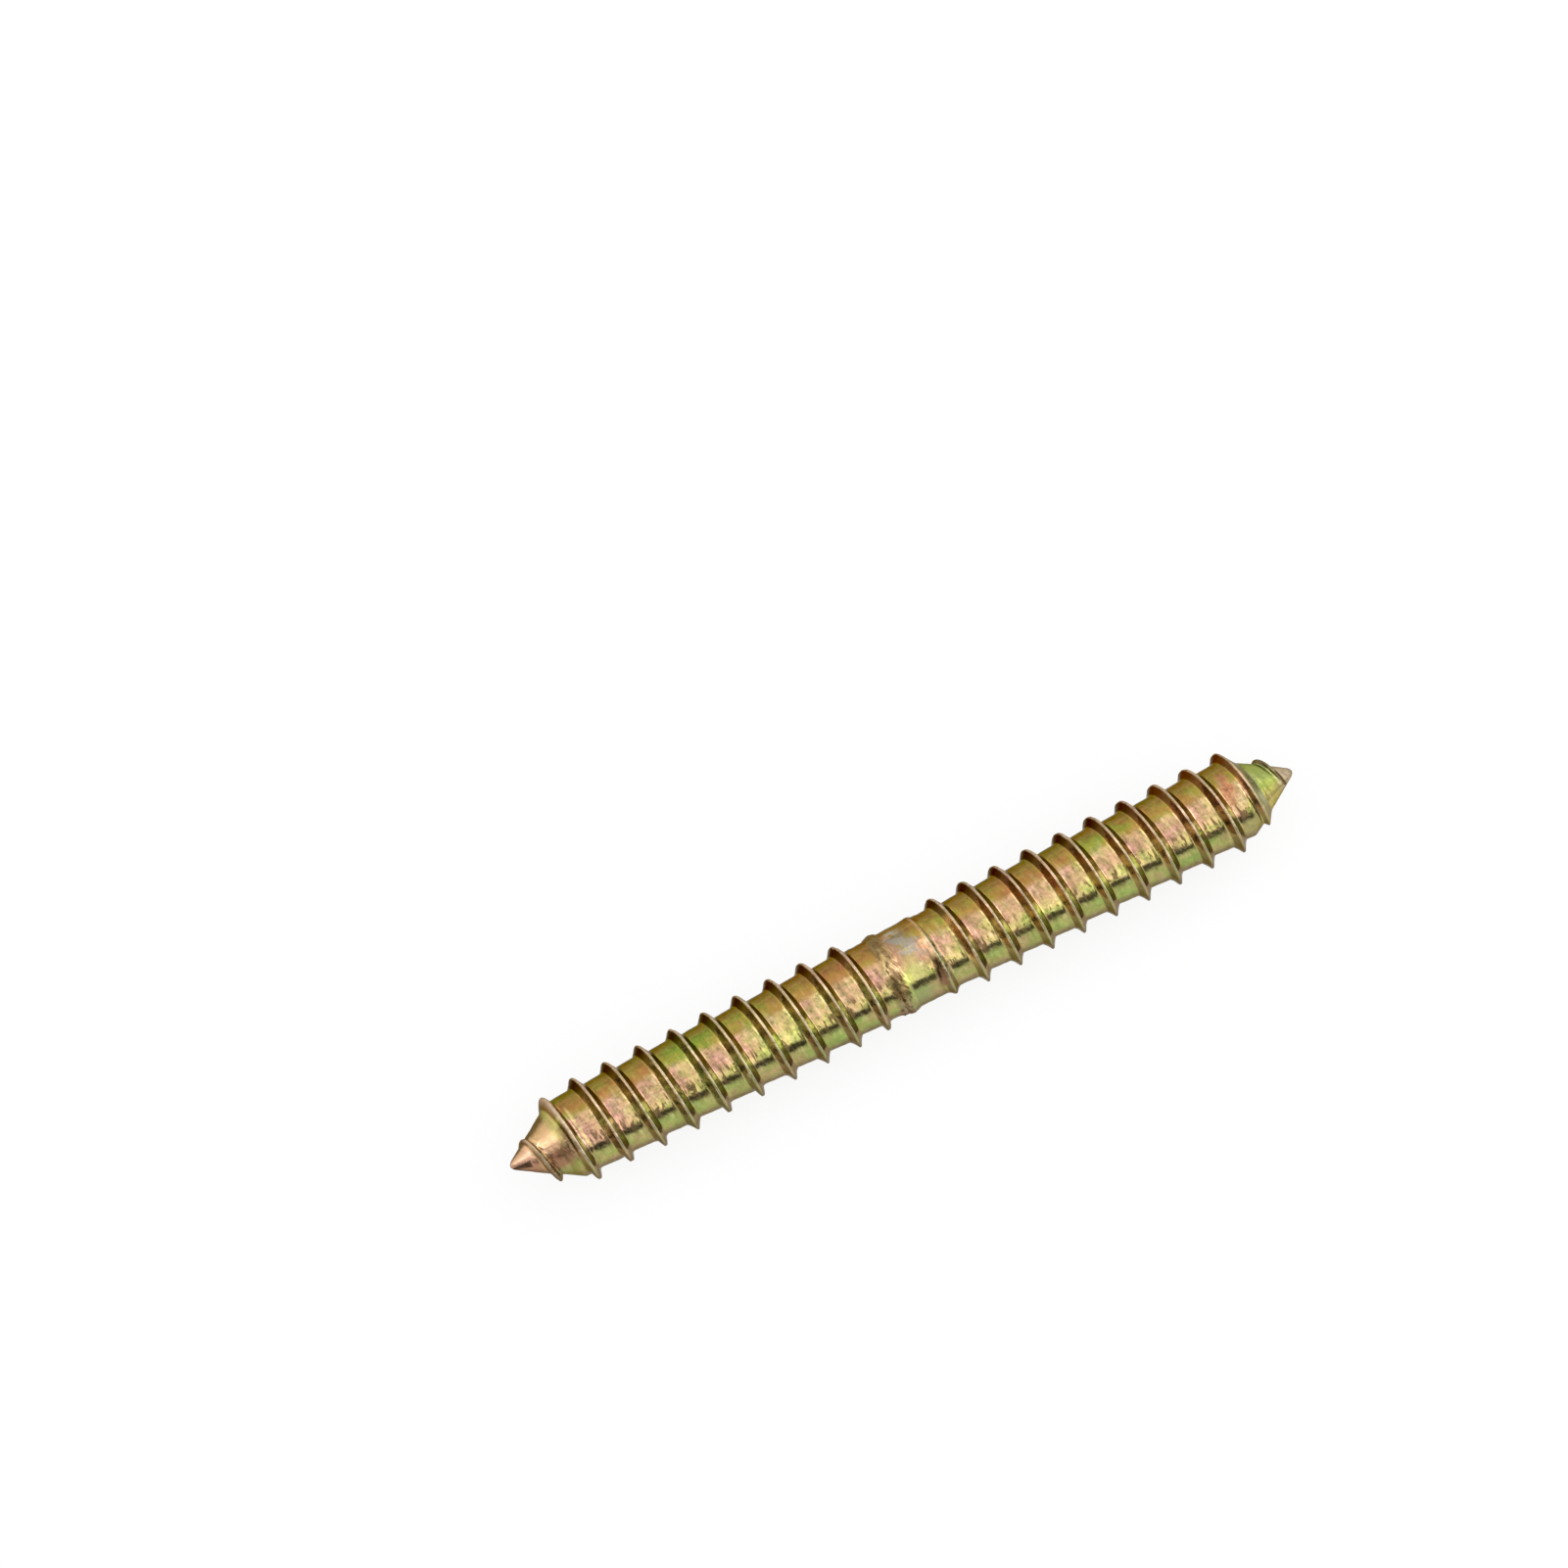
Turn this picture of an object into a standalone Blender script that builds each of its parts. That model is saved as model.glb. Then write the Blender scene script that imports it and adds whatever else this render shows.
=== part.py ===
"""Double-ended wood screw, made from one rolled steel rod.

A coarse right-hand wood thread runs over both halves, which end in gimlet points. One thread starts
close to its tip and grows slowly, the other starts later and grows fast. Between the halves the rod
keeps a short plain band. The screw lies on its thread, with its axis along X and the middle
of its length over the origin. Lengths are in metres.
"""

from math import atan2, ceil, cos, hypot, pi, radians, sin

import bmesh
import bpy

# Rod
LENGTH = 0.0700
ROOT_DIAMETER = 0.00649
TIP_DIAMETER = 0.00044
POINT_LENGTH = 0.0050
POINT_BULGE = 0.00006

# Plain band between the two threads
BAND_LENGTH = 0.0024
BAND_OFFSET = 0.0006
BAND_SWELL = 0.00015

# Thread
PITCH = 0.0028824
TOOTH_HEIGHT = 0.000825
TOOTH_BASE = 0.00128
CREST_FLAT = 0.00019
FLANK_HOLLOW = 0.00005
LAND_RISE = 0.00010
CREST_OFFSET = 0.00030
RUNOUT = 0.0030
SLOW_START_FROM_TIP = 0.0008
SLOW_LEAD_IN = 0.0042
FAST_START_FROM_TIP = 0.0010
FAST_LEAD_IN = 0.0026

# Facets
STEPS_PER_TURN = 32
WELD = 0.000001
TIP_CLEARANCE = 0.00012

NAME = "double_ended_screw"


def clear_scene():
    for thing in list(bpy.data.objects):
        bpy.data.objects.remove(thing, do_unlink=True)


def yellow_zinc():
    material = bpy.data.materials.new("yellow_zinc_steel")
    material.use_nodes = True
    shader = material.node_tree.nodes["Principled BSDF"]
    shader.inputs["Base Color"].default_value = (0.42, 0.31, 0.12, 1.0)
    shader.inputs["Metallic"].default_value = 1.0
    shader.inputs["Roughness"].default_value = 0.32
    return material


def thread_section():
    """Stations (radius, height) of the rolled section over one pitch, from one land's middle to the next."""
    root = ROOT_DIAMETER / 2
    crest = root + TOOTH_HEIGHT
    flank = (TOOTH_BASE + CREST_FLAT) / 4
    waist = root + TOOTH_HEIGHT / 2 - FLANK_HOLLOW
    return [
        (root + LAND_RISE / 2, -PITCH / 2),
        (root + LAND_RISE, -TOOTH_BASE / 2),
        (waist + LAND_RISE / 2, -flank),
        (crest, -CREST_FLAT / 2),
        (crest, CREST_FLAT / 2),
        (waist, flank),
        (root, TOOTH_BASE / 2),
        (root + LAND_RISE / 2, PITCH / 2),
    ]


def thread_stock(section, turns):
    """Threaded rod without ends: the section swept along a right-hand helix."""
    start = -turns * PITCH / 2 + CREST_OFFSET + PITCH / (2 * STEPS_PER_TURN)
    outline = bpy.data.meshes.new("thread_section")
    points = [(radius, 0.0, start + height) for radius, height in reversed(section)]
    outline.from_pydata(points, [(i, i + 1) for i in range(len(points) - 1)], [])
    stock = bpy.data.objects.new("thread_stock", outline)
    bpy.context.scene.collection.objects.link(stock)
    sweep = stock.modifiers.new("helix", "SCREW")
    sweep.axis = "Z"
    sweep.angle = 2 * pi
    sweep.screw_offset = PITCH
    sweep.iterations = turns
    sweep.steps = STEPS_PER_TURN
    sweep.render_steps = STEPS_PER_TURN
    sweep.use_merge_vertices = False
    bpy.context.view_layer.update()
    mesh = bpy.data.meshes.new_from_object(stock.evaluated_get(bpy.context.evaluated_depsgraph_get()))
    bpy.data.objects.remove(stock, do_unlink=True)
    bpy.data.meshes.remove(outline)
    return mesh


def ease(share):
    """Rises from 0 to 1 as its argument does, and stays level outside."""
    inside = sorted((0.0, share, 1.0))[1]
    return sin(inside * pi / 2)


def rod_radius(height):
    """Rod under the thread: root size, drawn in to both points and swelling a little at the plain band."""
    root = ROOT_DIAMETER / 2
    tip = TIP_DIAMETER / 2
    depth = LENGTH / 2 - abs(height)
    if depth < POINT_LENGTH:
        along = depth / POINT_LENGTH
        return tip + (root - tip) * along + 4 * POINT_BULGE * along * (1 - along)
    return root + BAND_SWELL * (1 - run_out(height))


def lead_in(height):
    """How much of the tooth has grown out of the point: none at the tip, all of it along the half."""
    from_tip = LENGTH / 2 - abs(height)
    if height < 0:
        return ease((from_tip - SLOW_START_FROM_TIP) / SLOW_LEAD_IN)
    return ease((from_tip - FAST_START_FROM_TIP) / FAST_LEAD_IN)


def run_out(height):
    """How much of the tooth's height is left beside the plain band: none on the band, all of it away from it."""
    from_band = abs(height - BAND_OFFSET) - BAND_LENGTH / 2
    return ease(from_band / RUNOUT)


def place(x, y, z, rim):
    """Moves a point of the stock to the finished screw, closing the ends with a rim and one pole each."""
    angle = atan2(y, x) + pi / STEPS_PER_TURN
    side = 1 if z > 0 else -1
    beyond = abs(z) - LENGTH / 2
    if beyond > rim:
        return 0.0, 0.0, side * LENGTH / 2
    if beyond > -TIP_CLEARANCE:
        radius = TIP_DIAMETER / 2
        z = side * LENGTH / 2
    else:
        rise = (hypot(x, y) - ROOT_DIAMETER / 2) * run_out(z)
        sunk = TOOTH_HEIGHT * (1 - lead_in(z))
        radius = rod_radius(z) + max(rise - sunk, 0.0)
    return radius * cos(angle), radius * sin(angle), z


def build():
    clear_scene()
    section = thread_section()
    widest = max(upper[1] - lower[1] for lower, upper in zip(section, section[1:]))
    turns = 2 * ceil((LENGTH / 2 + widest) / PITCH) + 2
    mesh = thread_stock(section, turns)
    shell = bmesh.new()
    shell.from_mesh(mesh)
    bpy.data.meshes.remove(mesh)
    bmesh.ops.remove_doubles(shell, verts=shell.verts, dist=WELD)
    for vertex in shell.verts:
        vertex.co = place(*vertex.co, widest)
    bmesh.ops.remove_doubles(shell, verts=shell.verts, dist=WELD)
    bmesh.ops.recalc_face_normals(shell, faces=shell.faces)
    solid = bpy.data.meshes.new(NAME)
    shell.to_mesh(solid)
    shell.free()
    solid.shade_smooth()
    solid.set_sharp_from_angle(angle=radians(28))
    solid.materials.append(yellow_zinc())
    parts = bpy.data.collections.new("Double-ended wood screw")
    bpy.context.scene.collection.children.link(parts)
    screw = bpy.data.objects.new(NAME, solid)
    parts.objects.link(screw)
    screw.rotation_euler = (0.0, pi / 2, 0.0)
    screw.location = (0.0, 0.0, (ROOT_DIAMETER / 2 + TOOTH_HEIGHT) * cos(pi / STEPS_PER_TURN))


build()
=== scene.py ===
"""Dress of a double-ended wood screw: a rolled, yellow-chromated steel screw lying on a pale floor."""
from math import cos, pi, radians, sin
from types import SimpleNamespace

import bpy
import numpy as np
from mathutils import Matrix, Vector


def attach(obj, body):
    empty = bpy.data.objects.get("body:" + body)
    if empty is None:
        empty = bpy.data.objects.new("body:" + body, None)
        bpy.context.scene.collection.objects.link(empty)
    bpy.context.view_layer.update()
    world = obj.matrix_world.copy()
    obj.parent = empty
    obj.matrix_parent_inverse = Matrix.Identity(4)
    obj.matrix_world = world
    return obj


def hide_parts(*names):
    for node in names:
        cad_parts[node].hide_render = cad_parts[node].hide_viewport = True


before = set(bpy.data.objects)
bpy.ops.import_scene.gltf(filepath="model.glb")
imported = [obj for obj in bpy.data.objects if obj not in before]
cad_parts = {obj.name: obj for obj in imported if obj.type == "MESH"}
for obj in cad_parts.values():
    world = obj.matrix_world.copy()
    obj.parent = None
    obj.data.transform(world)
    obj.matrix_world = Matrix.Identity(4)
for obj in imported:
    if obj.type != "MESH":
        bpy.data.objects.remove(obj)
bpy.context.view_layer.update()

# Sizes of the screw in millimetres, as in its solid
LENGTH = 70.0
ROOT_RADIUS = 3.245
TOOTH_HEIGHT = 0.825
TIP_RADIUS = 0.22
POINT_LENGTH = 5.0
POINT_BULGE = 0.24
AXIS_HEIGHT = 4.0504
PITCH = 2.8824
LEFT_PHASE = 0.251
RIGHT_PHASE = 0.351
CREST_HALF = 0.095
BASE_HALF = 0.64
LAND_RISE = 0.10
BAND_SWELL = 0.15
BAND_MIDDLE = 0.6
BAND_HALF = 2.4
MILLIMETRE = 0.001

# Finer forms in millimetres, which the solid leaves out
NOSE_LENGTH = 0.26
HEADROOM = 0.03
CREST_WAVER = 0.014
CREST_RIPPLE = 0.03
CREST_LOSS = 0.02
SKIN_DEPTH = 0.006
TATTER_DEPTH = 0.06
FIRST_TURN_DEPTH = 0.02
NOOK_DEPTH = 0.17
FOLD_DEPTH = 0.12
LIP_HEIGHT = 0.07

# Fineness of the surface: lines round the rod, turns along it, and what counts as one point
LINES = 112
TURNS = 28
POINTS_PER_METRE = 1e8
END_CLEARANCE = 0.01

# The screw's near side, where the finish is lightest, is turned this far from straight up
NEAR_TURN = radians(15.2)


def clamped(value):
    """The value, kept between 0 and 1."""
    return np.clip(value, 0, 1)


def hump(value, middle, reach, power=4):
    """1 at the middle value, next to nothing well past the reach: e ^ -((distance / reach) ^ power)."""
    return np.exp(-((value - middle) / reach) ** power)


def ragged(along, seed, count=14, lowest=0.5, highest=12.0):
    """Ragged line: a sum of sine waves of the given place, finer ones weaker, about 1 in strength."""
    rng = np.random.default_rng(seed)
    frequency = np.exp(rng.uniform(np.log(lowest), np.log(highest), count))
    phase = rng.uniform(0, 2 * pi, count)
    weight = (lowest / frequency) ** 0.5
    weight = weight / np.sqrt((weight ** 2).sum() / 2)
    return (weight * np.sin(along[..., None] * frequency + phase)).sum(axis=-1)


def pitted(x, angle, seed, count=24, size=0.6):
    """Rough skin: sine waves that run in random directions over the unrolled rod, about 1 in strength."""
    rng = np.random.default_rng(seed)
    length = size * np.exp(rng.uniform(-0.7, 0.9, count))
    heading = rng.uniform(0, pi, count)
    across = 2 * pi / length * np.cos(heading)
    around = np.round(2 * pi / length * np.sin(heading) * ROOT_RADIUS)
    phase = rng.uniform(0, 2 * pi, count)
    total = np.zeros(np.broadcast(x, angle).shape)
    for k in range(count):
        total += np.sin(across[k] * x + around[k] * angle + phase[k])
    return total / np.sqrt(count / 2)


def section_stations():
    """Places across one pitch, close together on the tooth and wide apart on the land."""
    crest = CREST_HALF * np.array([-1.0, -0.72, -0.4, 0.0, 0.4, 0.72, 1.0])
    flank = np.linspace(0, 1, 10)[1:] ** 1.1
    right = CREST_HALF + (BASE_HALF - CREST_HALF) * flank
    land = np.linspace(BASE_HALF, PITCH / 2, 7)[1:-1]
    half = np.concatenate([right, land])
    return np.concatenate([[-PITCH / 2], -half[::-1], crest, half])


def rod_radius(x):
    """Rod under the thread: level along the halves, a cone to each end and a small round nose on it."""
    depth = np.maximum(LENGTH / 2 - np.abs(x), 0)
    along = clamped(depth / POINT_LENGTH)
    cone = TIP_RADIUS + (ROOT_RADIUS - TIP_RADIUS) * along + POINT_BULGE * along * (1 - along)
    nose = clamped(depth / NOSE_LENGTH)
    return cone * np.sqrt(1 - (1 - nose) ** 2)


def along_screw(crest, *places):
    """Value that runs straight between the given places, which are counted from the left tip."""
    where, value = np.array(places).T
    return np.interp(crest + LENGTH / 2, where, value)


def grown(crest):
    """How far the tooth has grown out of the points, from the axial place of its crest."""
    return along_screw(crest, (0.8, 0.0), (1.1, 0.22), (1.66, 0.36), (2.95, 0.80), (4.4, 1.0), (64.4, 1.0),
                       (65.2, 0.95), (66.3, 0.72), (67.6, 0.74), (68.4, 0.45), (69.0, 0.0))


def beside_band(crest):
    """What is left of the tooth's height beside the plain band."""
    return along_screw(crest, (29.6, 1.0), (31.2, 0.93), (31.9, 0.76), (32.6, 0.40), (33.3, 0.30),
                       (34.7, 0.30), (35.3, 0.0), (35.75, 0.0), (36.2, 0.16), (36.9, 0.34), (37.6, 0.54),
                       (39.2, 0.92), (40.6, 1.0))


def crest_drift(crest):
    """How far the thread's ends beside the band stray along the rod, since they run straighter round it."""
    return along_screw(crest, (31.0, 0.1), (31.8, -0.16), (32.5, 0.0), (33.2, 0.3), (33.9, -0.5),
                       (34.7, -0.82), (35.3, -0.9), (35.75, 0.62), (36.2, 0.53), (36.9, 0.2), (37.6, 0.1),
                       (39.2, 0.0))


def knocked(crest):
    """How blunt the crest is low down on the near side, where knocks have flattened it."""
    return along_screw(crest, (4.6, 0.0), (5.2, 1.0), (8.5, 1.0), (11.5, 0.7), (13.5, 0.0), (15.6, 0.0),
                       (17.2, 1.0), (20.2, 1.0), (23.0, 0.3), (26.0, 0.0), (30.0, 0.2), (31.6, 1.0),
                       (33.0, 1.0), (38.0, 0.2), (46.5, 0.0), (48.0, 0.6), (50.0, 0.0), (56.0, 0.0),
                       (57.0, 0.5), (59.0, 0.0))


def chipped(turn, seed=21, count=46):
    """Small chips along the crest: short dips at random places, up to a seventh of the tooth deep."""
    rng = np.random.default_rng(seed)
    dip = np.zeros(turn.shape)
    for place, width, depth in zip(rng.uniform(-12, 12, count), rng.uniform(0.005, 0.02, count),
                                   rng.uniform(0.02, 0.14, count)):
        dip = np.maximum(dip, depth * hump(turn, place, width, 2))
    return dip


def screw_grid():
    """Every point's place on the unrolled screw.

    turn counts turns from the middle, crest is the axial place of the tooth's crest there, u the station
    across the pitch and x the point's own axial place. theta is its angle round the rod, and near the same
    from the near side. growth and rest are what the points and the band leave of the tooth, drift is how
    far its crest strays along the rod.
    """
    station = section_stations()
    lines = np.arange(LINES)[:, None, None]
    turn = lines / LINES + (np.arange(TURNS) - TURNS // 2)[None, :, None]
    crest = turn * PITCH + np.where(turn * PITCH < BAND_MIDDLE, LEFT_PHASE, RIGHT_PHASE)
    u = station[None, None, :]
    growth, rest = grown(crest), beside_band(crest)
    drift = crest_drift(crest) + CREST_WAVER * ragged(turn * 2 * pi, 3) * growth
    x = crest + u + drift * (1 - np.abs(2 * u / PITCH))
    x, u, growth, rest, turn = np.broadcast_arrays(x, u, growth, rest, turn)
    theta = np.broadcast_to(2 * pi * lines / LINES, x.shape)
    return SimpleNamespace(turn=turn, crest=crest, u=u, x=x, theta=theta, near=theta - pi - NEAR_TURN,
                           growth=growth, rest=rest, drift=drift)


def worn_tooth(at):
    """Section of the tooth as a share of its height, and what the colours and the height need of it.

    From a narrow, nearly flat crest both flanks fall in a hollow curve. The first turns at the left tip and
    the knocked stretches are blunt: a low parabola takes the section's place. The torn turn left of the
    band is a wider one. The right flank of the last tooth before the right cone reaches further out.
    """
    out = np.abs(at.u)
    widened = 0.45 * clamped((at.crest - 29.6) / 0.6) * clamped((32.7 - at.crest) / 0.6)
    base = BASE_HALF + np.where(at.u > 0, widened, 0)
    slope = clamped((out - CREST_HALF) / (base - CREST_HALF))
    tooth = (1 - slope) ** 1.25 - 0.05 * clamped(out / CREST_HALF) ** 2 * (1 - slope)
    first_turns = 0.75 * clamped((-29.3 - at.crest) / 0.8)
    round_near = np.mod(at.near - pi / 2 + pi, 2 * pi) - pi
    knock = knocked(at.crest) * np.exp(-round_near ** 4 / 0.12)
    blunt = np.maximum(first_turns, 0.8 * knock)
    tooth = tooth * (1 - blunt) + clamped(1 - (out / 0.38) ** 2) * blunt
    tooth = np.minimum(tooth, 1 - 0.13 * knock * (0.8 + 0.5 * np.sin(23 * at.turn)))
    torn = hump(at.crest + at.drift, -1.6, 0.9)
    tooth = tooth * (1 - torn) + clamped(1 - (out / 0.6) ** 2) * torn
    return SimpleNamespace(out=out, base=base, slope=slope, section=tooth, blunt=blunt, torn=torn)


def tooth_height(at, tooth):
    """How proud of the rod the tooth stands.

    Near the ends it sinks into the rod as it shrinks, with a soft foot. Its crest ripples and has chips.
    """
    above_rod = TOOTH_HEIGHT * (tooth.section * at.rest + at.growth - 1)
    soft = 0.3 * at.growth * (1 - at.growth)
    proud = (above_rod + np.sqrt(above_rod ** 2 + soft ** 2)) / 2
    whole = at.growth * at.rest
    ripple = CREST_RIPPLE * ragged(at.turn * 2 * pi, 5, lowest=1.0, highest=24.0) - CREST_LOSS
    proud = proud + ripple * (1 - tooth.slope) * whole
    return proud - TOOTH_HEIGHT * chipped(at.turn) * (1 - tooth.slope) ** 4 * whole


def land_place(at, tooth):
    """Place across the land: 0 at the foot of one tooth, 1 at the next. It runs back under the tooth."""
    width = PITCH - 2 * BASE_HALF
    land = (np.where(at.u > 0, at.u, at.u + PITCH) - BASE_HALF) / width
    return np.where(tooth.out < BASE_HALF, (BASE_HALF - at.u) / (2 * BASE_HALF), land)


def lip_mark(at):
    """Raised lip on the near side of the first full land, by the foot of the tooth right of it."""
    return hump(at.u, 0.86, 0.16, 2) * hump(at.near, -0.05, 0.85) * hump(at.crest, -30.3, 1.1)


def worn_rod(at, tooth, land, lip):
    """Radius of the rod: lands that rise to one side, the swollen band, and its wear.

    Torn skin lies left of the band and a nook right of it. The first turn is rough, the left tip has a
    small fold, and the whole skin is faintly uneven.
    """
    core = rod_radius(at.x)
    whole = at.growth * at.rest
    radius = core + LAND_RISE * land * whole * (core / ROOT_RADIUS) * (1 - tooth.section)
    radius = radius + BAND_SWELL * hump(at.x, BAND_MIDDLE, BAND_HALF) * (1 - at.rest)
    tatter = hump(at.x, -1.5, 0.62) * (0.6 + 0.4 * np.cos(at.near - 1.0))
    radius = radius + TATTER_DEPTH * tatter * pitted(at.x, at.theta, 11)
    radius = radius - NOOK_DEPTH * hump(at.x, 1.85, 0.26) * hump(at.near, 0.38, 0.36)
    first_turn = hump(at.x - 0.25 * at.near, -32.5, 0.55, 2)
    radius = radius + FIRST_TURN_DEPTH * first_turn * pitted(at.x, at.theta, 12)
    skin = SKIN_DEPTH * pitted(at.x, at.theta, 13, count=40, size=0.7)
    radius = radius + skin * clamped(core / ROOT_RADIUS)
    down = radius * np.sin(at.near)
    fold = clamped((down - 0.2) / 0.06) * hump(down, 0.26, 0.45, 2) * clamped((-33.45 - at.x) / 0.2)
    radius = radius - FOLD_DEPTH * fold * (np.cos(at.near) > 0) * clamped(radius / 0.6)
    return radius + LIP_HEIGHT * lip


def spiral_faces(per_turn):
    """Faces between neighbouring lines. The last line meets the first one pitch further along."""
    length = TURNS * per_turn
    index = np.arange(LINES * length).reshape(LINES, length)
    here = np.concatenate([index[:-1, :-1].ravel(), index[-1, :-per_turn - 1]])
    ahead = np.concatenate([index[:-1, 1:].ravel(), index[-1, 1:-per_turn]])
    ahead_next = np.concatenate([index[1:, 1:].ravel(), index[0, per_turn + 1:]])
    here_next = np.concatenate([index[1:, :-1].ravel(), index[0, per_turn:-1]])
    return np.stack([here, ahead, ahead_next, here_next], axis=-1)


def build_screw():
    """Closed surface of the whole screw.

    The first parameter is the angle round the rod, the second runs along it through the stations of every
    pitch. A point's axial place is the crest's, which climbs one pitch a turn, plus its station. Its radius
    is the rod's plus the tooth's height at that station. Past the tips all points meet in one.
    """
    at = screw_grid()
    tooth = worn_tooth(at)
    proud = tooth_height(at, tooth)
    land = land_place(at, tooth)
    lip = lip_mark(at)
    radius = worn_rod(at, tooth, land, lip) + np.maximum(proud, 0)
    inside = np.abs(at.x) < LENGTH / 2 - END_CLEARANCE
    radius = np.where(inside, np.minimum(radius, AXIS_HEIGHT + HEADROOM), 0.0)
    x = np.where(inside, at.x, np.sign(at.x) * LENGTH / 2)
    points = np.stack([x, radius * np.sin(at.theta), AXIS_HEIGHT - radius * np.cos(at.theta)], axis=-1)

    height = clamped(proud / TOOTH_HEIGHT)
    facing = np.sin(pi * np.clip(at.u / tooth.base, -1, 1)) * clamped(at.growth * at.rest * 2)
    ridge = clamped(1 - (tooth.out / (CREST_HALF * 1.45 + 0.2 * tooth.blunt)) ** 2)
    ridge = ridge * clamped(height * 2.2) * (1 - tooth.torn)
    marks = {"tooth": height, "side": facing, "crest": ridge, "lip": lip, "land": land}
    marks = {name: mark.ravel() for name, mark in marks.items()}
    return points.reshape(-1, 3) * MILLIMETRE, spiral_faces(at.u.shape[2]), marks


def closed_mesh(name, points, quads, marks):
    """Mesh of the grid, with points that coincide merged and empty faces left out."""
    grains = np.round(points * POINTS_PER_METRE).astype(np.int64)
    _, first, same = np.unique(grains, axis=0, return_index=True, return_inverse=True)
    quads = same.reshape(-1)[quads]
    triangles = np.concatenate([quads[:, [0, 1, 2]], quads[:, [0, 2, 3]]])
    a, b, c = triangles.T
    triangles = triangles[(a != b) & (b != c) & (c != a)]
    used = np.unique(triangles)
    place = np.full(len(first), -1)
    place[used] = np.arange(len(used))
    mesh = bpy.data.meshes.new(name)
    mesh.from_pydata(points[first][used], [], place[triangles])
    for mark, values in marks.items():
        layer = mesh.attributes.new(mark, "FLOAT", "POINT")
        layer.data.foreach_set("value", np.ascontiguousarray(values[first][used], dtype=np.float32))
    mesh.shade_smooth()
    mesh.validate()
    return mesh


def put(name, data):
    """Object of the given name in the scene, at the origin, unturned and unscaled."""
    thing = bpy.data.objects.new(name, data)
    bpy.context.scene.collection.objects.link(thing)
    return thing


class Port:
    """An output of a finish's node that takes part in arithmetic: each sign adds a Math node."""

    def __init__(self, finish, socket):
        self.finish = finish
        self.socket = socket

    def math(self, operation, *values):
        return self.finish.add("Math", {"operation": operation}, dict(enumerate(values)))

    def __add__(self, other):
        return self.math("ADD", self, other)

    def __sub__(self, other):
        return self.math("SUBTRACT", self, other)

    def __rsub__(self, other):
        return self.math("SUBTRACT", other, self)

    def __mul__(self, other):
        return self.math("MULTIPLY", self, other)

    def __truediv__(self, other):
        return self.math("DIVIDE", self, other)

    def __pow__(self, other):
        return self.math("POWER", self, other)

    __radd__ = __add__
    __rmul__ = __mul__

    def size(self):
        return self.math("ABSOLUTE", self)

    def most(self, other):
        return self.math("MAXIMUM", self, other)

    def least(self, other):
        return self.math("MINIMUM", self, other)

    def sway(self, strength):
        """Noise or a mark that runs from 0 to 1, as a swing of the given strength about 0."""
        return (self - 0.5) * strength

    def rise(self, low, high):
        """0 up to the first value, 1 from the second on, smooth between. Either may be the higher."""
        ends = {1: min(low, high), 2: max(low, high), 3: float(low > high), 4: float(low < high)}
        return self.finish.add("MapRange", {"interpolation_type": "SMOOTHSTEP"}, {0: self, **ends})

    def bump(self, middle, reach):
        """1 at the middle value, falling to 0 at the reach on both sides."""
        return (self - middle).size().rise(reach, 0.0)

    def siblings(self):
        """All outputs of this output's node, by name."""
        return {output.name: Port(self.finish, output) for output in self.socket.node.outputs}


class Finish:
    """Nodes of one material, or of the room's light, cleared and built anew."""

    def __init__(self, owner):
        self.owner = owner
        owner.use_nodes = True
        self.nodes = owner.node_tree.nodes
        self.links = owner.node_tree.links
        self.nodes.clear()

    def add(self, kind, settings=None, sockets=None, out=0):
        """Adds a node: its settings first, then the values or links of its sockets."""
        node = self.nodes.new("ShaderNode" + kind)
        for key, value in (settings or {}).items():
            if key == "stops":
                ramp = node.color_ramp.elements
                while len(ramp) < len(value):
                    ramp.new(0.5)
                for stop, (place, colour) in zip(ramp, value):
                    stop.position = place
                    stop.color = (*colour, 1.0)
            else:
                setattr(node, key, value)
        for key, value in (sockets or {}).items():
            if isinstance(value, Port):
                self.links.new(value.socket, node.inputs[key])
            else:
                node.inputs[key].default_value = value
        return Port(self, node.outputs[out]) if node.outputs else None

    def vector(self, x, y, z):
        return self.add("CombineXYZ", None, {0: x, 1: y, 2: z})

    def separate(self, vector):
        """The three parts of a vector."""
        return self.add("SeparateXYZ", None, {0: vector}).siblings().values()

    def length(self, x, y, z):
        return self.add("VectorMath", {"operation": "LENGTH"}, {0: self.vector(x, y, z)}, "Value")

    def scaled(self, vector, factor):
        """A vector or a colour times a number."""
        return self.add("VectorMath", {"operation": "SCALE"}, {0: vector, 3: factor})

    def noise(self, where, scale, detail, roughness=0.55):
        return self.add("TexNoise", None, {"Vector": where, "Scale": scale, "Detail": detail,
                                           "Roughness": roughness})

    def ramp(self, value, stops):
        return self.add("ValToRGB", {"stops": stops}, {0: value})

    def blend(self, share, first, second, way="MIX"):
        first = first if isinstance(first, Port) else (*first, 1.0)
        second = second if isinstance(second, Port) else (*second, 1.0)
        return self.add("Mix", {"data_type": "RGBA", "blend_type": way}, {0: share, 6: first, 7: second}, 2)

    def coats(self, colour, *coats):
        """Lays coats over a colour in turn, each with its share."""
        for share, coat in coats:
            colour = self.blend(share, colour, coat)
        return colour

    def tints(self, colour, *tints):
        """Multiplies a colour by tints in turn, each with its share."""
        for share, tint in tints:
            colour = self.blend(share, colour, tint, "MULTIPLY")
        return colour

    def mark(self, name):
        return self.add("Attribute", {"attribute_name": name}, None, "Fac")


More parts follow.
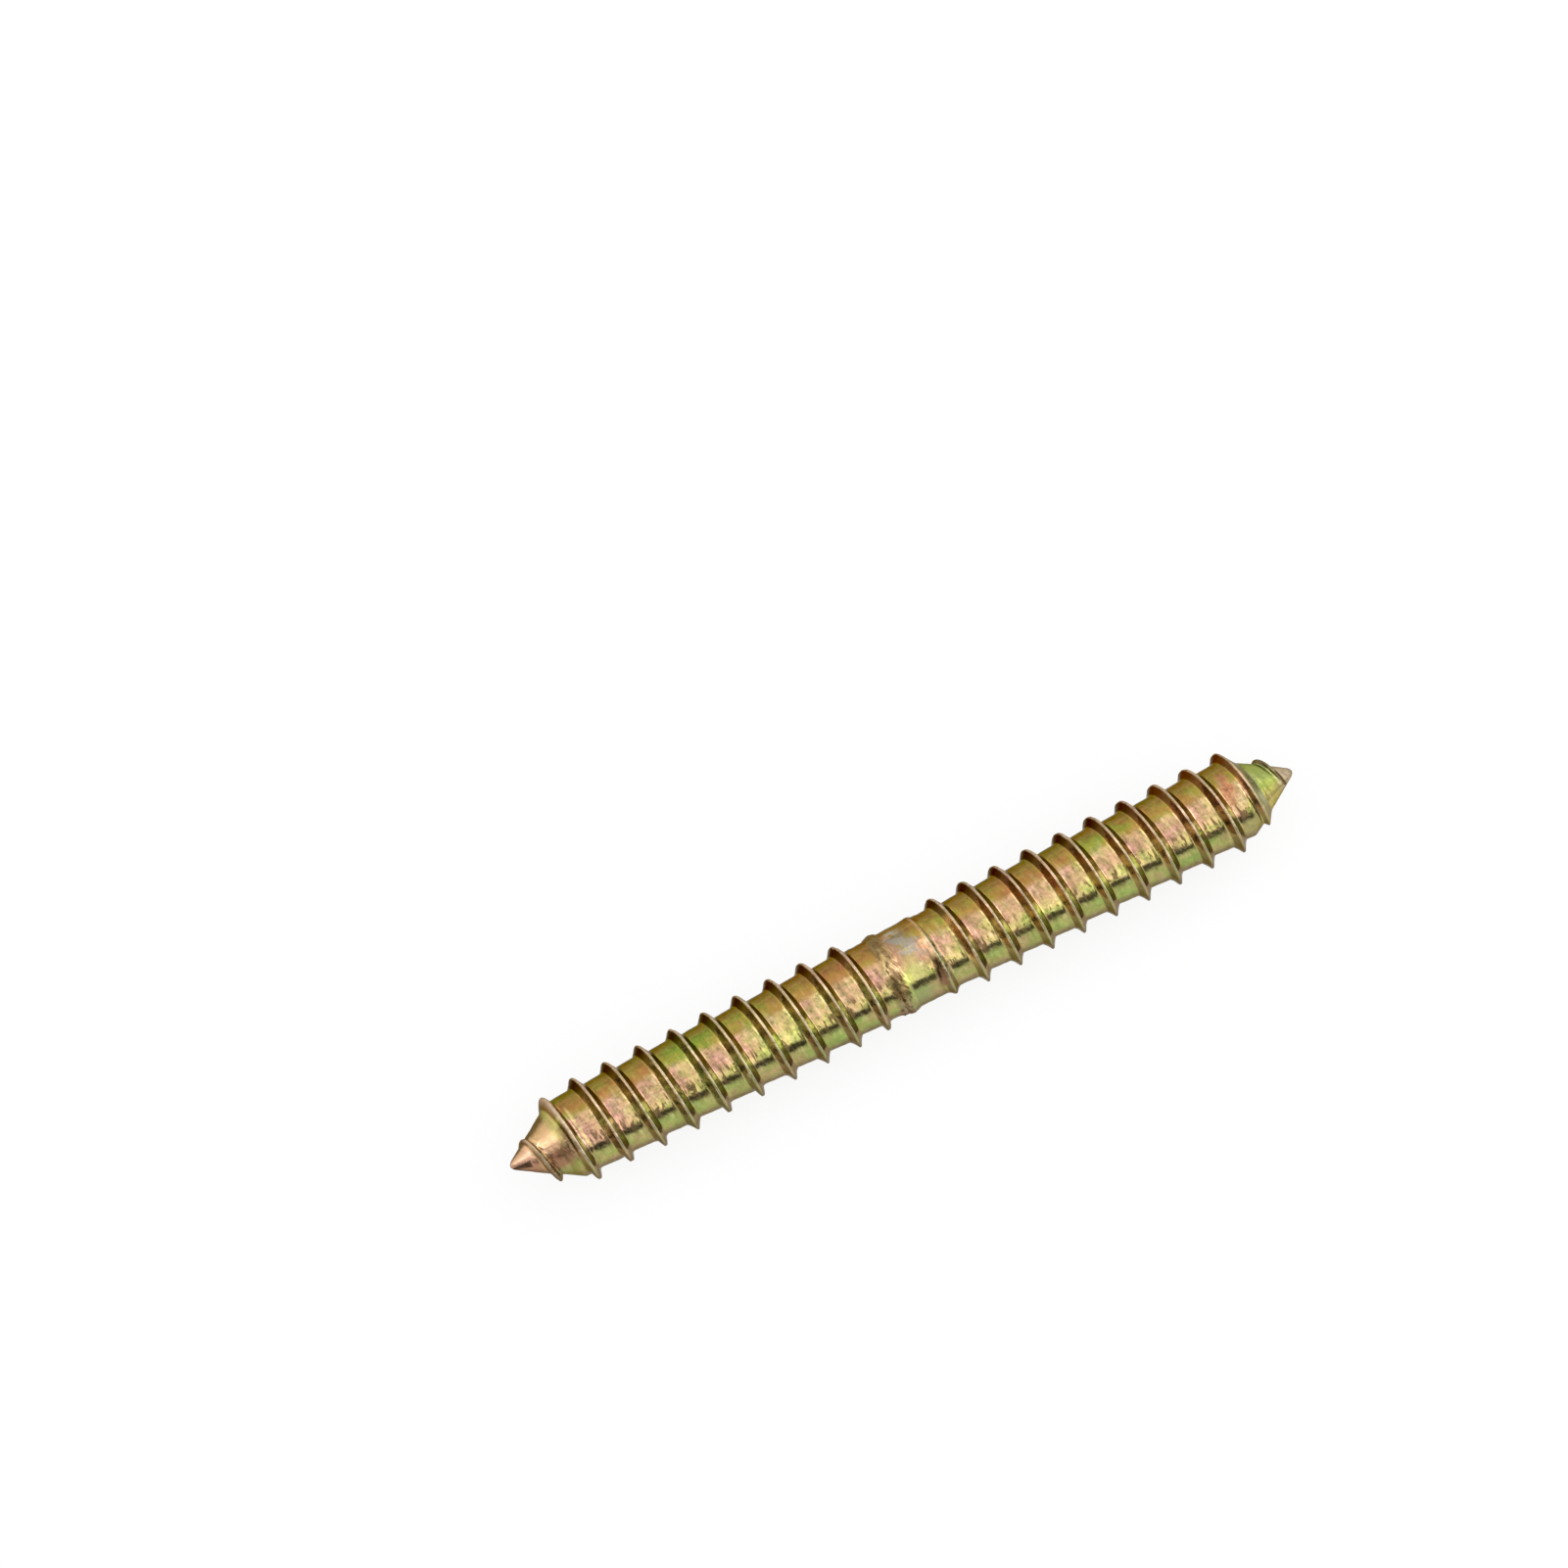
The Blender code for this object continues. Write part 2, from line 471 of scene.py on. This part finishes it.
# Ramps of the film: places and linear colours. The first three run with noise, the others round the rod.
# Those named with shade or reflection also hold painted shade or a painted reflection.
TOP_FILM = ((0.0, (0.39, 0.41, 0.11)), (0.25, (0.495, 0.415, 0.145)), (0.5, (0.495, 0.35, 0.165)),
            (0.75, (0.465, 0.285, 0.16)), (1.0, (0.475, 0.26, 0.19)))
FAR_FILM = ((0.0, (0.27, 0.37, 0.045)), (0.3, (0.37, 0.35, 0.055)), (0.6, (0.44, 0.28, 0.06)),
            (1.0, (0.47, 0.19, 0.07)))
NEAR_FILM = ((0.0, (0.21, 0.33, 0.08)), (0.45, (0.29, 0.32, 0.095)), (0.75, (0.36, 0.28, 0.125)),
             (1.0, (0.40, 0.24, 0.14)))
BAND_FILM = ((0.08, (0.26, 0.18, 0.06)), (0.25, (0.35, 0.26, 0.09)), (0.45, (0.44, 0.34, 0.14)),
             (0.54, (0.44, 0.43, 0.15)), (0.72, (0.45, 0.43, 0.16)), (0.80, (0.25, 0.31, 0.11)),
             (0.95, (0.24, 0.23, 0.13)))
# The left cone's first stop, dark at the far edge, is a painted shadow.
LEFT_CONE_FILM_AND_SHADE = ((0.06, (0.14, 0.10, 0.05)), (0.15, (0.66, 0.42, 0.20)), (0.30, (0.70, 0.46, 0.25)),
                  (0.42, (0.56, 0.36, 0.20)), (0.50, (0.46, 0.29, 0.165)), (0.70, (0.44, 0.27, 0.15)),
                  (0.86, (0.36, 0.23, 0.13)), (0.96, (0.22, 0.15, 0.10)))
RIGHT_CONE_FILM = ((0.25, (0.28, 0.36, 0.10)), (0.5, (0.30, 0.39, 0.07)), (0.62, (0.43, 0.41, 0.10)),
                   (0.85, (0.46, 0.39, 0.13)))
# The left flanks' ramps fall to near black at their far-side end: painted shade.
BROWN_FLANK_AND_SHADE = ((0.04, (0.035, 0.018, 0.005)), (0.155, (0.09, 0.047, 0.012)), (0.25, (0.50, 0.35, 0.13)),
               (0.415, (0.27, 0.215, 0.085)), (0.585, (0.155, 0.10, 0.045)), (0.72, (0.24, 0.17, 0.085)),
               (0.81, (0.20, 0.15, 0.07)), (0.895, (0.19, 0.145, 0.11)), (1.0, (0.15, 0.12, 0.08)))
RED_FLANK_AND_SHADE = ((0.04, (0.04, 0.018, 0.007)), (0.155, (0.11, 0.055, 0.022)), (0.25, (0.50, 0.31, 0.11)),
             (0.415, (0.34, 0.205, 0.07)), (0.53, (0.235, 0.125, 0.048)), (0.61, (0.27, 0.16, 0.055)),
             (0.68, (0.43, 0.295, 0.11)), (0.74, (0.33, 0.235, 0.09)), (0.81, (0.24, 0.19, 0.075)),
             (0.895, (0.18, 0.16, 0.092)), (1.0, (0.15, 0.13, 0.08)))
MOSSY_FLANK = ((0.20, (0.30, 0.20, 0.11)), (0.26, (0.42, 0.45, 0.08)), (0.34, (0.16, 0.14, 0.035)),
               (0.72, (0.12, 0.10, 0.03)), (0.85, (0.19, 0.16, 0.09)))
# The bright pale green stops from 0.525 to 0.725 are a painted reflection.
GREEN_FLANK_AND_REFLECTION = ((0.155, (0.13, 0.10, 0.035)), (0.26, (0.16, 0.15, 0.055)), (0.415, (0.095, 0.11, 0.045)),
               (0.48, (0.10, 0.125, 0.05)), (0.525, (0.36, 0.49, 0.27)), (0.61, (0.39, 0.52, 0.31)),
               (0.68, (0.46, 0.56, 0.34)), (0.725, (0.41, 0.43, 0.25)), (0.77, (0.31, 0.265, 0.14)),
               (0.895, (0.33, 0.24, 0.165)), (1.0, (0.20, 0.155, 0.105)))
RUBBED_CREST = ((0.155, (0.50, 0.37, 0.275)), (0.26, (0.54, 0.415, 0.31)), (0.42, (0.34, 0.28, 0.20)),
                (0.585, (0.28, 0.235, 0.155)), (0.72, (0.34, 0.29, 0.21)), (0.85, (0.23, 0.19, 0.14)),
                (1.0, (0.18, 0.145, 0.105)))
TORN_SKIN = ((0.12, (0.20, 0.14, 0.06)), (0.3, (0.44, 0.32, 0.14)), (0.47, (0.46, 0.34, 0.18)),
             (0.53, (0.14, 0.09, 0.04)), (0.76, (0.12, 0.08, 0.035)), (0.82, (0.24, 0.19, 0.09)),
             (0.95, (0.22, 0.17, 0.11)))

# Single colours of the film, of its wear and dark marks, and of painted shadow, shade, highlight and
# reflection
OLIVE_END = (0.33, 0.28, 0.12)
GREY_RIM = (0.265, 0.215, 0.175)
FAR_EDGE_SHADOW = (0.12, 0.08, 0.025)
LIME = (0.52, 0.60, 0.12)
ORANGE = (0.46, 0.25, 0.15)
FLUSH = (0.52, 0.215, 0.11)
BARE_STEEL = (0.40, 0.38, 0.315)
BARE_TIP = (0.40, 0.32, 0.215)
CONE_GREEN = (0.25, 0.28, 0.10)
CONE_LIME = (0.42, 0.41, 0.125)
CONE_OLIVE = (0.19, 0.17, 0.045)
BRUISE_DARK = (0.13, 0.06, 0.03)
BRUISE_RED = (0.30, 0.13, 0.08)
BRUISE_EDGE = (0.25, 0.125, 0.07)
RUST_RED = (0.33, 0.115, 0.05)
CHESTNUT = (0.17, 0.075, 0.03)
LAST_FLANK = (0.12, 0.08, 0.045)
FOOT_SHADOW = (0.07, 0.04, 0.016)
BROWN_BY_BAND = (0.13, 0.085, 0.04)
GREY_GREEN = (0.26, 0.245, 0.15)
PALE_GREEN = (0.31, 0.29, 0.19)
DULL_CREST = (0.12, 0.085, 0.05)
GROOVE = (0.075, 0.045, 0.022)
WEDGE_SHADE = (0.035, 0.018, 0.012)
SEAM = (0.24, 0.12, 0.09)
DARK_REFLECTION_LINE = (0.155, 0.115, 0.05)
TEAR = (0.125, 0.08, 0.035)
NICK = (0.075, 0.05, 0.022)
LIGHT_STROKE = (0.60, 0.52, 0.28)
LIP_HIGHLIGHT = (0.60, 0.46, 0.20)
TORN_BROWN = (0.13, 0.07, 0.03)
NOOK_DARK = (0.05, 0.022, 0.012)
NOOK_RED = (0.17, 0.085, 0.05)

# Tint of the metal seen at a slant, and how much brighter the film is than its colours are written
METAL_EDGE = (0.44, 0.385, 0.31, 1.0)
FILM_GAIN = 1.42


def screw_places(finish):
    """What the film's colours are driven by. Lengths are in millimetres, counted from the screw's axis.

    x runs along the screw. low is the place round the rod: -1 on the far side, 0 on top and at the bottom,
    1 on the near side. down is the same in millimetres, turned the same from 0 to 1, and face is 1 on top
    and -1 below. Noise runs over the skin with the thread's slope. left and right are the cones, band and
    land the plain band and the lands, on_top the upper half. tooth, side, crest, lip and across are the
    mesh's own marks.
    """
    at = SimpleNamespace()
    place = finish.add("TexCoord", out="Object")
    at.x, y, z = finish.separate(finish.scaled(place, 1 / MILLIMETRE))
    z = z - AXIS_HEIGHT
    up = y * -sin(NEAR_TURN) + z * cos(NEAR_TURN)
    at.down = y * -cos(NEAR_TURN) + z * -sin(NEAR_TURN)
    at.radius = ((up * up + at.down * at.down) ** 0.5).most(0.05)
    at.face = up / at.radius
    at.low = at.down / at.radius
    at.tooth, at.side, at.crest, at.lip = (finish.mark(name) for name in ("tooth", "side", "crest", "lip"))
    at.across = finish.mark("land")
    wound = at.x - at.low * (PITCH / (2 * pi))

    def stretched(along, around):
        return finish.vector(wound * along, y * around, z * around)

    skin = finish.vector(wound, y, z)
    at.patch = finish.noise(stretched(0.34, 0.42), 1.0, 2.0)
    at.cluster = finish.noise(skin, 0.9, 1.0)
    at.blotch = finish.noise(skin, 1.5, 2.0)
    at.speck = finish.noise(skin, 3.6, 2.0)
    at.grain = finish.noise(skin, 9.0, 1.0)
    at.stroke = finish.noise(stretched(3.0, 0.8), 1.0, 2.0)
    at.tear = finish.noise(stretched(3.4, 0.75), 1.0, 1.0, 0.5)
    at.turned = at.low * 0.5 + 0.5 + at.speck.sway(0.05)
    at.left, at.right = at.x.rise(-29.8, -30.9), at.x.rise(30.3, 31.2)
    at.band = (at.x - 0.05).bump(0.0, 1.75) * at.crest.rise(0.4, 0.0)
    at.land = at.tooth.rise(0.15, 0.02)
    at.on_top = at.face.rise(0.0, 0.3)
    return at


def film_on_rod(finish, at):
    """Film on the rod: pink and cream on top, olive and orange on the far side, green low on the near, and a
    painted shadow along the far edge.
    """
    x, low, blotch, speck = at.x, at.low, at.blotch, at.speck
    tip_end = x.rise(-23.5, -27.0)
    hue = tip_end * 0.34 - x.bump(-12.0, 9.0) * 0.2 + x.bump(5.5, 4.5) * 0.15
    hue = hue - low.rise(0.0, 0.34) * (1.0 - tip_end) * 0.42
    pinkness = at.patch.sway(1.6) + blotch.sway(1.2) + speck.sway(0.3) + (0.5 - at.across) * 0.45 + hue + 0.68
    tan = at.patch.sway(1.6) + at.cluster.sway(0.9) + speck.sway(0.4) + 0.5
    olive = tan - x.bump(-18.0, 9.0) * 0.36 + x.bump(-2.0, 10.0) * 0.3 - x.bump(17.0, 5.0) * 0.15 + 0.06
    top, far = finish.ramp(pinkness, TOP_FILM), finish.ramp(olive, FAR_FILM)
    near = finish.blend(x.rise(27.5, 28.6) * 0.8, finish.ramp(tan - 0.08, NEAR_FILM), OLIVE_END)
    far_share = (low + blotch.sway(0.16)).rise(-0.33, -0.56)
    near_share = (low + blotch.sway(0.08)).rise(0.44, 0.52)
    rim = low.rise(0.79, 0.96) * at.face.rise(-0.3, 0.05) * (blotch.rise(0.35, 0.65) * 0.35 + 0.6)
    # The last coat is a painted shadow: a dark band along the rod's far edge.
    return finish.coats(top, (far_share, far), (near_share, near), (rim, GREY_RIM),
                        (low.rise(-0.72, -0.9) * 0.75, FAR_EDGE_SHADOW))


def film_on_band(finish, at, colour):
    """Plain band, with lime and orange patches and a bare spot, and one orange flush on the right half."""
    x, low, speck = at.x, at.low, at.speck
    lime = x.bump(-0.7, 0.75) * low.bump(0.24, 0.34)
    colour = finish.blend(at.band * 0.85, colour, finish.blend(lime, finish.ramp(at.turned, BAND_FILM), LIME))
    off_top = (at.on_top - 1.0) * 3.0

    def patch(middle_x, middle_low, reach_x, reach_low):
        away = finish.length((x - middle_x) / reach_x, (low - middle_low) / reach_low, off_top)
        return away + at.blotch.sway(1.5)

    spot = finish.length((x - 0.3 - (low + 0.58) * 1.6) * 1.15, (low + 0.52) * 2.7, off_top)
    spot = spot + at.blotch.sway(3.2) + speck.sway(0.8)
    return finish.coats(colour, (patch(-0.85, -0.46, 0.85, 0.5).rise(1.15, 0.4) * 0.95, ORANGE),
                        (patch(1.25, -0.2, 0.8, 0.38).rise(1.15, 0.4) * 0.95, ORANGE),
                        (patch(29.0, -0.36, 0.6, 0.42).rise(1.2, 0.5) * 0.9, FLUSH),
                        (spot.rise(1.35, 0.2) * 0.85, BARE_STEEL))


def film_on_cones(finish, at, colour):
    """Both cones: the left one orange with green and olive patches, a bruise and a painted shadow on its far
    edge, the right one green.
    """
    x, low, down = at.x, at.low, at.down
    cone = finish.coats(finish.ramp(at.turned, LEFT_CONE_FILM_AND_SHADE),
                        (low.rise(0.5, 0.85) * x.rise(-32.3, -31.3) * 0.85, CONE_GREEN),
                        (x.rise(-31.4, -30.9) * low.rise(0.0, -0.4) * 0.75, CONE_LIME),
                        (x.rise(-31.0, -30.7) * low.rise(-0.5, -0.3) * 0.85, CONE_OLIVE))
    cone = finish.tints(cone, (x.rise(-32.4, -33.2) * low.rise(0.1, 0.4), (0.88, 0.72, 0.74)),
                        (x.rise(-32.8, -33.4), (0.98, 0.93, 1.12)))
    bruise = (down + at.speck.sway(0.7)).rise(0.2, 0.5) * (down + at.blotch.sway(0.8)).rise(2.0, 1.5)
    bruise = bruise * at.on_top * x.rise(-32.7, -32.2) * x.rise(-30.2, -30.7)
    bruised = finish.blend(at.blotch.rise(0.40, 0.55), BRUISE_DARK, BRUISE_RED)
    bruised = finish.blend(down.rise(0.8, 1.2), bruised, BRUISE_EDGE)
    bare = (x.size() + at.speck.sway(0.8)).rise(32.9, 33.9) * at.right
    return finish.coats(colour, (at.left * 0.9, cone), (bruise * 0.85, bruised),
                        (at.right * 0.9, finish.ramp(at.turned + at.patch.sway(0.3), RIGHT_CONE_FILM)),
                        (bare, BARE_TIP))


def film_on_left_flanks(finish, at, colour):
    """Flanks that face left: brown on the left half, redder on the right, mossy on the first turn, with
    painted shade on their tops on the far side.

    Painted shadow darkens the foot of the last full tooth, low on the near side.
    """
    x, low, side = at.x, at.low, at.side
    red = at.stroke.sway(1.8) + at.patch.sway(1.6) + 0.3 + x.rise(-8.0, 12.0) * 0.25
    flank = finish.ramp(at.turned, BROWN_FLANK_AND_SHADE)
    flank = finish.coats(flank, (x.rise(-2.0, 4.0), finish.ramp(at.turned, RED_FLANK_AND_SHADE)),
                         (red.rise(0.45, 0.95) * low.bump(-0.12, 0.6) * 0.7, RUST_RED))
    flank = finish.tints(flank, (x.bump(-18.5, 6.0) * 0.8, (0.75, 1.15, 0.95)))
    flank = finish.coats(flank, (x.bump(-30.5, 0.9), finish.ramp(at.turned, MOSSY_FLANK)),
                         (x.rise(19.0, 27.0) * low.rise(0.7, 0.3) * 0.75, CHESTNUT))
    # The first two tints are painted shade, darkening the flanks' tops on the far side.
    flank = finish.tints(flank, (x.rise(2.0, 8.0) * low.rise(0.0, -0.45), (0.62, 0.42, 0.38)),
                         (x.rise(8.0, 2.0) * low.rise(-0.3, -0.6), (0.72, 0.66, 0.60)),
                         (x.rise(2.0, 8.0) * low.bump(0.1, 0.6), (0.98, 0.86, 0.84)),
                         (low.rise(0.4, 0.7), (0.85, 0.81, 0.76)), (1.0, (0.90, 0.84, 0.77)))
    flank = finish.blend(x.rise(31.4, 31.9) * low.rise(0.3, 0.0), flank, LAST_FLANK)
    by_band = x.bump(1.8, 1.0) * low.rise(0.2, -0.1)
    here = side.rise(-0.05, -0.6) * at.tooth.rise(0.02, 0.2) * (1.0 - by_band * 0.9)
    # Painted shadow at the foot of the last full tooth's left flank.
    foot = side.rise(-0.02, -0.3) * x.rise(28.8, 29.2) * x.rise(30.8, 30.4) * low.rise(-0.1, 0.35)
    return finish.coats(colour, (here * 0.92, flank), (foot * (1.0 - at.crest) * 0.9, FOOT_SHADOW))


def film_on_right_flanks(finish, at, colour):
    """Flanks that face right: dark on the far side, a painted pale green reflection past the top, brown
    beside the band.
    """
    x, low = at.x, at.low
    # Past the top this ramp paints a pale green reflection.
    flank = finish.ramp(at.turned, GREEN_FLANK_AND_REFLECTION)
    flank = finish.tints(flank, (x.rise(0.0, -4.0) * low.rise(0.3, 0.0), (0.86, 0.90, 0.80)))
    last = finish.blend(low.rise(-0.1, 0.3), GREY_GREEN, PALE_GREEN)
    # Darker brown on the right flanks just right of the band.
    flank = finish.coats(flank, (x.bump(3.1, 1.0).least(0.5) * 1.8, BROWN_BY_BAND),
                         (x.rise(30.2, 30.6) * 0.85, last))
    here = at.side.rise(0.05, 0.6) * at.tooth.rise(0.02, 0.15) * (x + 1.5).size().rise(0.6, 1.2)
    return finish.blend(here * 0.92, colour, flank)


def film_on_crests(finish, at, colour):
    """Crests, rubbed pale: pinkish on the far side, duller near both cones."""
    x, low = at.x, at.low
    rubbed = finish.ramp(at.turned, RUBBED_CREST)
    rubbed = finish.tints(rubbed, (x.rise(-31.5, -32.2), (0.70, 0.66, 0.62)))
    rubbed = finish.blend(x.rise(31.6, 32.2) * low.rise(0.0, -0.3) * 0.9, rubbed, DULL_CREST)
    worn = at.crest * (at.speck.rise(0.3, 0.6) * 0.4 + 0.45) * (1.0 - low.rise(0.5, 0.8) * 0.35)
    return finish.blend(worn, colour, rubbed)


def marks_on_cones(finish, at, colour):
    """Dark groove that runs aslant over the right cone, and painted shade on the wedge by the fold at the
    left tip.
    """
    x, down = at.x, at.down
    groove = (x - down * 0.35).bump(33.68, 0.26) * down.rise(-0.9, -0.4) * down.rise(0.8, 0.6) * at.on_top
    # The wedge is painted shade: the facet by the fold, turned from the lamp, is darkened.
    wedge = (down - 0.18) / ((x + 35.15).most(0.05) * 0.34)
    wedge = wedge.rise(-0.08, 0.12) * wedge.rise(1.15, 0.9) * x.rise(-33.4, -33.55) * at.face.rise(0.0, 0.2)
    wedge = wedge * (1.0 - at.crest)
    return finish.coats(colour, (groove.rise(0.1, 0.7) * 0.9, GROOVE), (wedge * 0.95, WEDGE_SHADE))


def wear_on_lands(finish, at, colour):
    """Seam along the left half's top, a painted dark reflection line low on the near side, and marks round
    the rod.

    The marks are short brown tears, nicks and light strokes. The foot of each tooth is a little darker, and
    the raised lip on the first land gets a painted highlight.
    """
    x, low, face, blotch, speck, land = at.x, at.low, at.face, at.blotch, at.speck, at.land
    root = at.side.size().bump(0.12, 0.28) * at.tooth.rise(0.12, 0.0) * (1.0 - at.crest)
    nicks = (at.grain + speck.sway(0.6)).rise(0.64, 0.74) * land
    seam = (low + speck.sway(0.06)).bump(-0.05, 0.05) * face.rise(0.0, 0.5) * land
    seam = seam * (blotch + (speck - 0.5)).rise(0.40, 0.56) * x.rise(-8.0, -25.0)
    # The rolled line is a painted reflection: a dark band where the lamp's near edge is mirrored.
    rolled = (low + blotch.sway(0.05) + speck.sway(0.04)).bump(0.477, 0.15) * at.on_top * land
    light = at.tear.rise(0.44, 0.32) * face.rise(0.6, 0.9) * land * (1.0 - at.left) * 0.28
    return finish.coats(colour, (seam * 0.75, SEAM),
                        (rolled * (x.rise(6.0, -12.0) * 0.3 + 0.55) * (1.0 - at.left), DARK_REFLECTION_LINE),
                        ((at.tears * 0.9 + root * 0.3).least(0.9), TEAR), (nicks * 0.15, NICK),
                        # The lip is painted bright: a painted highlight along the raised lip.
                        (light, LIGHT_STROKE), (at.lip.rise(0.3, 0.8) * 0.8, LIP_HIGHLIGHT))


def wear_beside_band(finish, at, colour):
    """Torn skin left of the band and a dark nook right of it."""
    x, low, speck = at.x, at.low, at.speck
    torn = (at.tear + speck.sway(0.8)).rise(0.50, 0.62) * 0.75
    torn = finish.blend(torn, finish.ramp(at.turned, TORN_SKIN), TORN_BROWN)
    nook = ((x - 1.9) + speck.sway(0.5)).bump(0.0, 0.5).least(0.5) * low.bump(0.44, 0.56).least(0.5) * 4.0
    return finish.coats(colour, (at.tatter * 0.9, torn),
                        (nook * 0.85, finish.blend(low.rise(0.3, 0.7), NOOK_DARK, NOOK_RED)))


def yellow_chromate():
    """Yellow chromate on zinc: pink and cream on top, olive, orange and green round the sides.

    The film's colour runs through fixed ramps, driven by noise and by the place on the rod. Coats lie over
    each other: rod, band, cones, flanks, crests, then wear and marks, with painted shadow, shade, highlight
    and reflection among the coats. Noise shades it all, and the tears are also sunk and dull.
    """
    finish = Finish(bpy.data.materials.new("yellow_zinc"))
    at = screw_places(finish)
    x, low, blotch, speck, left, right = at.x, at.low, at.blotch, at.speck, at.left, at.right
    tears = (at.tear + x.rise(-8.0, -24.0) * 0.03).rise(0.54, 0.61)
    tears = tears * (blotch + at.patch.sway(0.6)).rise(0.38, 0.50) * at.land
    at.tears = tears * (low.bump(0.28, 0.42) * 0.92 + 0.08) * at.radius.rise(1.0, 3.0) * (1.0 - at.band)
    at.tatter = (x + 1.6).bump(0.0, 0.95).least(0.6) / 0.6

    colour = film_on_rod(finish, at)
    for coat in (film_on_band, film_on_cones, film_on_left_flanks, film_on_right_flanks, film_on_crests,
                 marks_on_cones, wear_on_lands, wear_beside_band):
        colour = coat(finish, at, colour)
    contrast = (0.45 + at.face.rise(0.86, 0.95) * 0.75) * (1.0 - at.band * 0.6)
    contrast = contrast * (1.0 - left * 0.6) * (1.0 - right * 0.4)
    shade = blotch.sway(1.3) + speck.sway(1.0) + at.stroke.sway(1.0) + at.grain.sway(0.5)
    colour = finish.scaled(colour, (shade * contrast + 1.0) * FILM_GAIN)

    relief = speck.sway(0.010) + at.grain.sway(0.003) + at.tear.sway(0.005) - at.tears * 0.014
    relief = relief * (1.0 - left * 0.6) * (1.0 - right * 0.4) * (1.0 - at.band * 0.4)
    relief = relief * (1.0 - low.bump(0.47, 0.28) * 0.75)
    normal = finish.add("Bump", None, {"Strength": 1.0, "Distance": MILLIMETRE, "Height": relief})
    gloss = 0.18 + speck.sway(0.18) + at.tears * 0.3 + at.crest * 0.14 + at.tatter * 0.12
    gloss = gloss + (left + right) * 0.1
    shader = finish.add("BsdfPrincipled", None, {"Base Color": colour, "Metallic": 1.0, "Normal": normal,
                                                 "Roughness": gloss.most(0.08), "Specular Tint": METAL_EDGE})
    finish.add("OutputMaterial", None, {"Surface": shader})
    return finish.owner


def pale_floor(kept_shadow=0.14):
    """Near-white floor: seen straight, in metal or through glass it glows, and a share shows shadow."""
    finish = Finish(bpy.data.materials.new("pale_floor"))
    ray = finish.add("LightPath").siblings()
    seen = ray["Is Camera Ray"].most(ray["Is Glossy Ray"]).most(ray["Is Transmission Ray"])
    matt = finish.add("BsdfPrincipled", None, {"Base Color": (0.88, 0.88, 0.88, 1.0), "Roughness": 0.9})
    white = finish.add("Emission", None, {"Color": (1.0, 1.0, 1.0, 1.0), "Strength": 1.0})
    mixed = finish.add("MixShader", None, {0: seen * (1.0 - kept_shadow), 1: matt, 2: white})
    finish.add("OutputMaterial", None, {"Surface": mixed})
    return finish.owner


def studio_room():
    """Room round the screw: pale on the far side and beyond both ends, dim low down on the near side."""
    room = Finish(bpy.data.worlds.new("room"))
    along, away, height = room.separate(room.add("TexCoord", out="Object"))
    beyond_ends = along.size().rise(0.45, 0.75)
    pale = (height.most(0.0) * 0.45 + 0.55) * height.rise(0.87, 0.76) * (1.0 + beyond_ends * 0.5)
    far = away.rise(-0.30, 0.15).most(along.rise(0.35, 0.7))
    skirting = height.rise(0.16, 0.08) * 0.8
    strength = pale * far + (skirting + 0.1) * (1.0 - far)
    glow = room.add("Background", None, {"Color": (1.0, 1.0, 1.0, 1.0), "Strength": strength})
    room.add("OutputWorld", None, {"Surface": glow})
    return room.owner


def softbox(strength, height, near_edge, far_edge, width):
    """Even lamp overhead, as wide along X as given, with both edges at these angles from the zenith."""
    near, far = -height * np.tan(near_edge), height * np.tan(far_edge)
    lamp = bpy.data.lights.new("softbox", "AREA")
    lamp.shape = "RECTANGLE"
    lamp.size = width
    lamp.size_y = far - near
    lamp.energy = strength * pi * lamp.size * lamp.size_y
    thing = put("softbox", lamp)
    thing.location = (0, (near + far) / 2, height)
    thing.visible_camera = False


def floor_sheet(half):
    """Flat square floor round the origin, as far from it to each side as given, in metres."""
    corners = [(-half, -half, 0), (half, -half, 0), (half, half, 0), (-half, half, 0)]
    mesh = bpy.data.meshes.new("floor")
    mesh.from_pydata(corners, [], [(0, 1, 2, 3)])
    return mesh


def camera_at(azimuth, elevation, aim, distance, focus_in_frames, sensor=36, clip_start=0.01):
    """Camera that looks at the aim from the given side, its focal length counted in widths of the picture."""
    back = Vector((sin(azimuth) * cos(elevation), -cos(azimuth) * cos(elevation), sin(elevation)))
    right = Vector((cos(azimuth), sin(azimuth), 0))
    lens = bpy.data.cameras.new("camera")
    lens.sensor_width = sensor
    lens.lens = sensor * focus_in_frames
    lens.clip_start = clip_start
    camera = put("camera", lens)
    turned = Matrix((right, back.cross(right), back)).transposed().to_4x4()
    turned.translation = Vector(aim) + back * distance
    camera.matrix_world = turned
    return camera


screw = put("rolled_screw", closed_mesh("rolled_screw", *build_screw()))
screw.data.materials.append(yellow_chromate())

floor = put("floor", floor_sheet(half=3))
floor.data.materials.append(pale_floor())

softbox(strength=1.1, height=0.6, near_edge=radians(64.2), far_edge=radians(34), width=3.0)
bpy.context.scene.world = studio_room()
bpy.context.scene.camera = camera_at(radians(-27.62), radians(72.99), aim=(-0.00091, 0.01896, 0),
                                     distance=0.4544, focus_in_frames=5752 / 1601)
bpy.context.scene.view_settings.view_transform = "Standard"

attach(screw, "root")
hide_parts("double_ended_screw")
